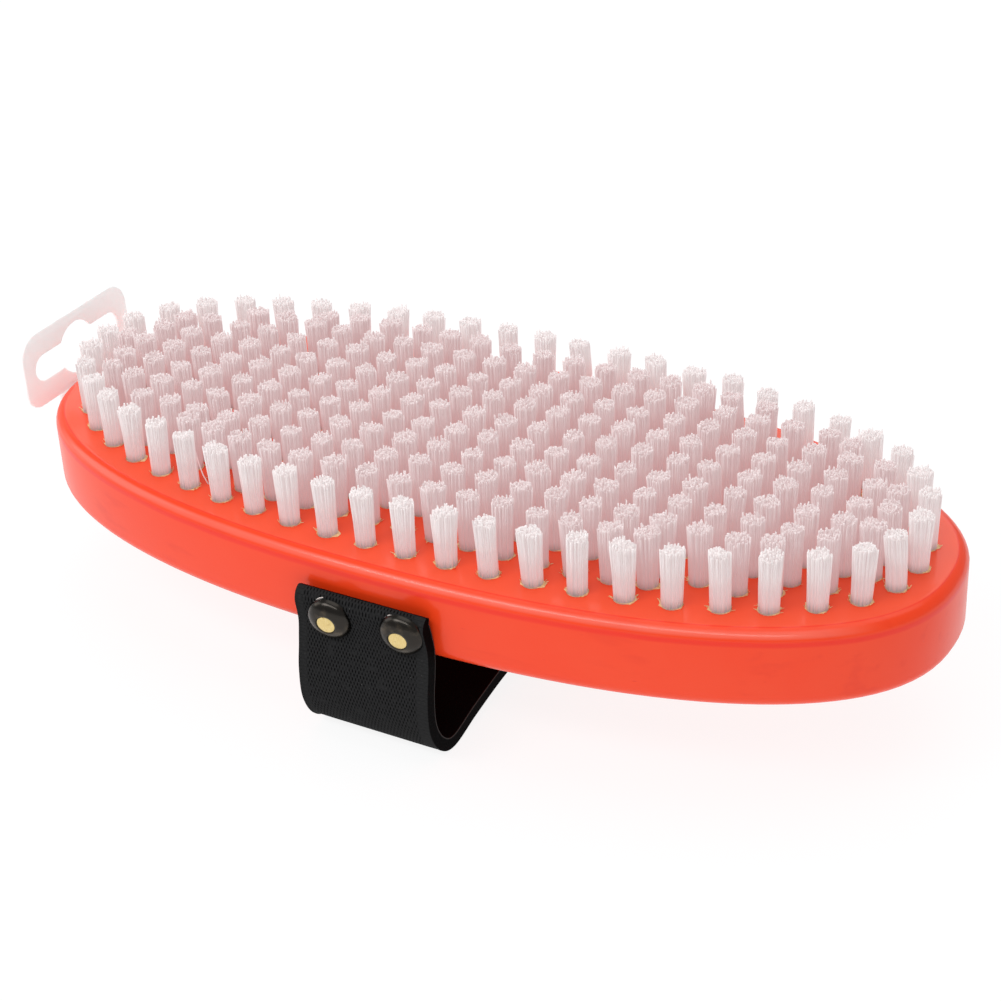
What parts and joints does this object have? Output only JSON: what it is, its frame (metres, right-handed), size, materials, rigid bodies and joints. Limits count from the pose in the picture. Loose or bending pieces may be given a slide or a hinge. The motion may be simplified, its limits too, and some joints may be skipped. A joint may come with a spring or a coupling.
{
  "type": "oval hand brush",
  "caption": "Oval lacquered wooden hand brush with short upright nylon tufts, an elastic hand strap nailed across its back and a folding plastic hang tab.",
  "frame": {"origin": "centre of the block's flat back", "axes": "+X along the block away from the hang tab, +Y across it along the strap, +Z from the back towards the bristles"},
  "size_m": [0.1879, 0.0918, 0.0493],
  "materials": {
    "lacquered_wood": "satin orange-red lacquer over fine-grained wood",
    "nylon": "translucent white filaments, cut ends",
    "webbing": "black ribbed elastic webbing",
    "cap_metal": "dark antiqued dome, polished",
    "nail_brass": "plain brass, brushed flat",
    "tab_plastic": "thin translucent sheet",
    "sticky_foam": "matt adhesive foam"
  },
  "bodies": {
    "brush": {"block": "lacquered_wood", "ring_tufts_01": "nylon", "ring_tufts_02": "nylon", "ring_tufts_03": "nylon", "ring_tufts_04": "nylon", "ring_tufts_05": "nylon", "ring_tufts_06": "nylon", "ring_tufts_07": "nylon", "ring_tufts_08": "nylon", "ring_tufts_09": "nylon", "ring_tufts_10": "nylon", "row_tufts_1": "nylon", "row_tufts_2": "nylon", "row_tufts_3": "nylon", "row_tufts_4": "nylon", "row_tufts_5": "nylon", "row_tufts_6": "nylon", "row_tufts_7": "nylon", "row_tufts_8": "nylon", "row_tufts_9": "nylon", "strap_end_near": "webbing", "strap_end_far": "webbing", "cap_near_left": "cap_metal", "cap_near_right": "cap_metal", "cap_far_left": "cap_metal", "cap_far_right": "cap_metal", "nail_near_left": "nail_brass", "nail_near_right": "nail_brass", "nail_far_left": "nail_brass", "nail_far_right": "nail_brass", "tab_foot": "tab_plastic", "tab_pad": "sticky_foam"},
    "hand_loop": {"strap_loop": "webbing"},
    "hang_flag": {"tab_flag": "tab_plastic"}
  },
  "joints": [
    {"name": "strap_stretch", "type": "slide", "parent": "brush", "child": "hand_loop", "axis": [0, 0, -1], "range_m": [-0.01, 0.015], "stiffness_N_per_m": 2500, "deforming": ["strap_loop"]},
    {"name": "tab_fold", "type": "hinge", "parent": "brush", "child": "hang_flag", "pos_m": [-0.0949, 0, 0.0125], "axis": [0, -1, 0], "range_deg": [-20, 100], "stiffness_Nm_per_rad": 0.01}
  ]
}
